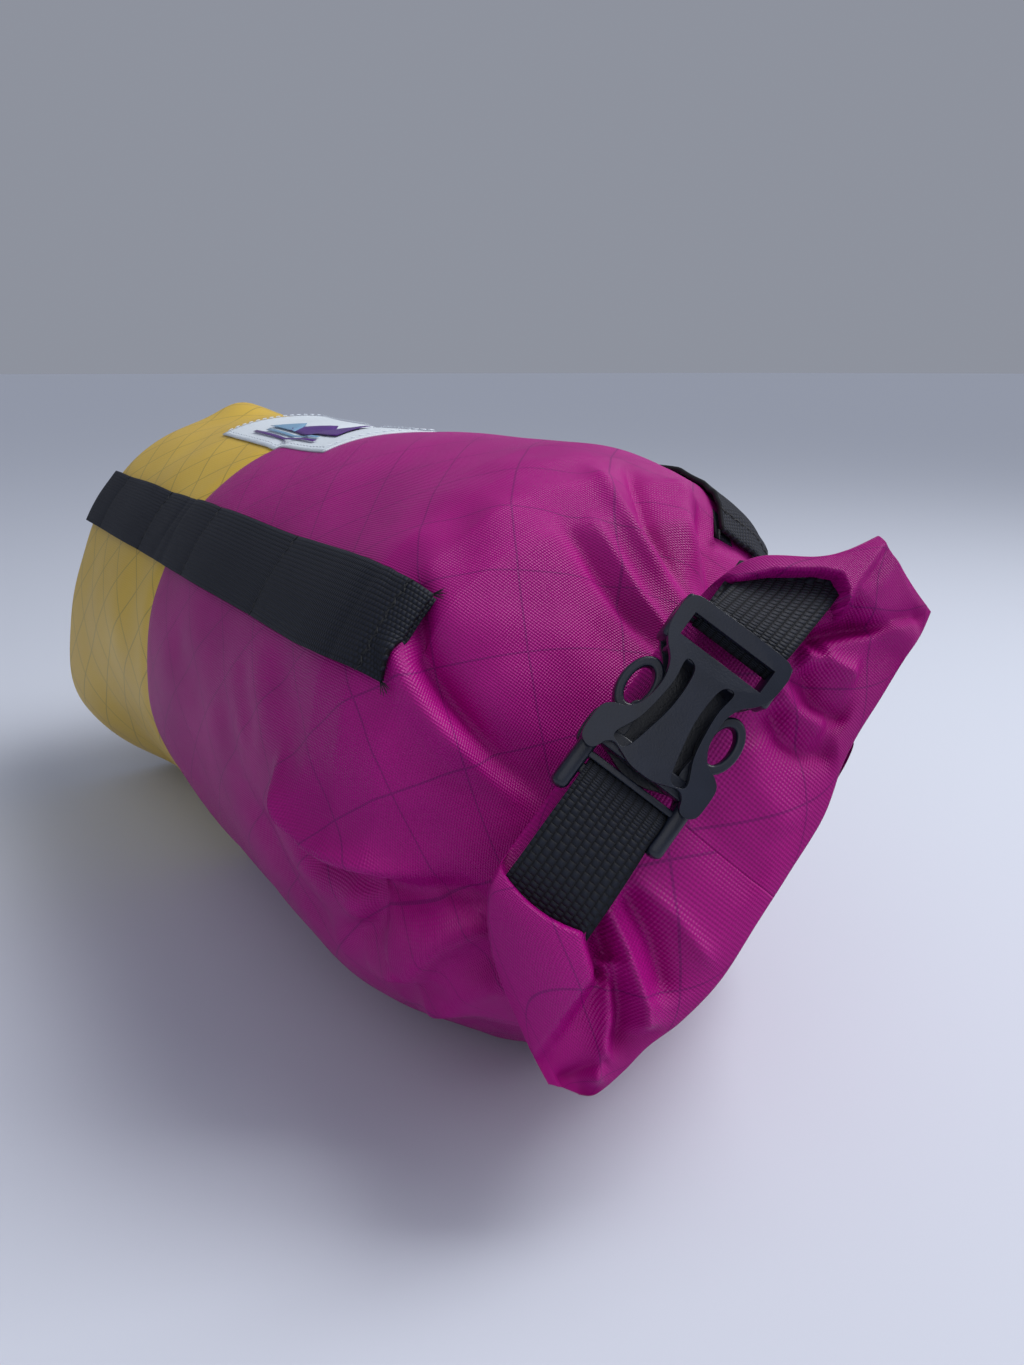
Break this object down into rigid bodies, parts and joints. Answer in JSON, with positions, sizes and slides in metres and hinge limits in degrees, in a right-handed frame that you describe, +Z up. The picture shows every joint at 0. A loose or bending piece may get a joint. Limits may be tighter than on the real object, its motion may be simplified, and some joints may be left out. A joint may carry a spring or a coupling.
{
  "type": "roll-top stuff sack",
  "caption": "Filled roll-top stuff sack lying on its side, with webbing daisy chains, a sewn label and a side-release buckle over the rolled mouth.",
  "frame": {"origin": "middle of the bounding box at its lowest level, on the surface that the sack lies on", "axes": "+X along the sack's length towards the rolled mouth, +Z up, the flattened mouth runs along +Y+Z"},
  "size_m": [0.3588, 0.17, 0.1649],
  "materials": {
    "yellow_laminate": "laminated fabric with a diamond yarn grid under a satin film",
    "magenta_ripstop": "coated ripstop nylon, satin",
    "black_webbing": "ribbed and plain woven nylon webbing, matte",
    "white_label": "woven label, satin",
    "black_acetal": "moulded acetal, fine spark texture",
    "seam_tape": "heat-bonded sealing tape, satin",
    "stiffener_sheet": "polyethylene sheet"
  },
  "bodies": {
    "sack": {"base_panel": "yellow_laminate", "lower_panel": "yellow_laminate", "upper_panel": "magenta_ripstop", "base_seam_tape": "seam_tape", "panel_seam_tape": "seam_tape", "side_seam_tape_lower": "seam_tape", "side_seam_tape_upper": "seam_tape", "daisy_chain_left": "black_webbing", "daisy_chain_right": "black_webbing", "label": "white_label", "roll_centre": "magenta_ripstop", "mouth_stiffener": "stiffener_sheet", "daisy_tack_left_1": "black_webbing", "daisy_tack_left_2": "black_webbing", "daisy_tack_left_3": "black_webbing", "daisy_tack_left_4": "black_webbing", "daisy_tack_left_5": "black_webbing", "daisy_tack_right_1": "black_webbing", "daisy_tack_right_2": "black_webbing", "daisy_tack_right_3": "black_webbing", "daisy_tack_right_4": "black_webbing", "daisy_tack_right_5": "black_webbing"},
    "left_end": {"roll_end_left": "magenta_ripstop", "strap_left": "black_webbing", "buckle_male": "black_acetal"},
    "right_end": {"roll_end_right": "magenta_ripstop", "strap_right": "black_webbing", "buckle_female": "black_acetal"},
    "left_prong": {"prong_left": "black_acetal"},
    "right_prong": {"prong_right": "black_acetal"}
  },
  "joints": [
    {"name": "left_end_spread", "type": "slide", "parent": "sack", "child": "left_end", "axis": [0, -0.7071, -0.7071], "range_m": [0, 0.012], "deforming": ["prong_left", "prong_right"]},
    {"name": "right_end_spread", "type": "slide", "parent": "sack", "child": "right_end", "axis": [0, 0.7071, 0.7071], "range_m": [0, 0.012], "deforming": ["prong_left", "prong_right"]},
    {"name": "prong_left_squeeze", "type": "hinge", "parent": "left_end", "child": "left_prong", "pos_m": [0.15109, -0.03479, 0.1111], "axis": [-0.8121, 0.4126, -0.4126], "range_deg": [0, 8], "stiffness_Nm_per_rad": 0.6},
    {"name": "prong_right_squeeze", "type": "hinge", "parent": "left_end", "child": "right_prong", "pos_m": [0.16043, -0.0256, 0.10191], "axis": [0.8121, -0.4126, 0.4126], "range_deg": [0, 8], "stiffness_Nm_per_rad": 0.6}
  ],
  "couplings": [
    {"joint": "right_end_spread", "follows": "left_end_spread", "ratio": 1}
  ]
}
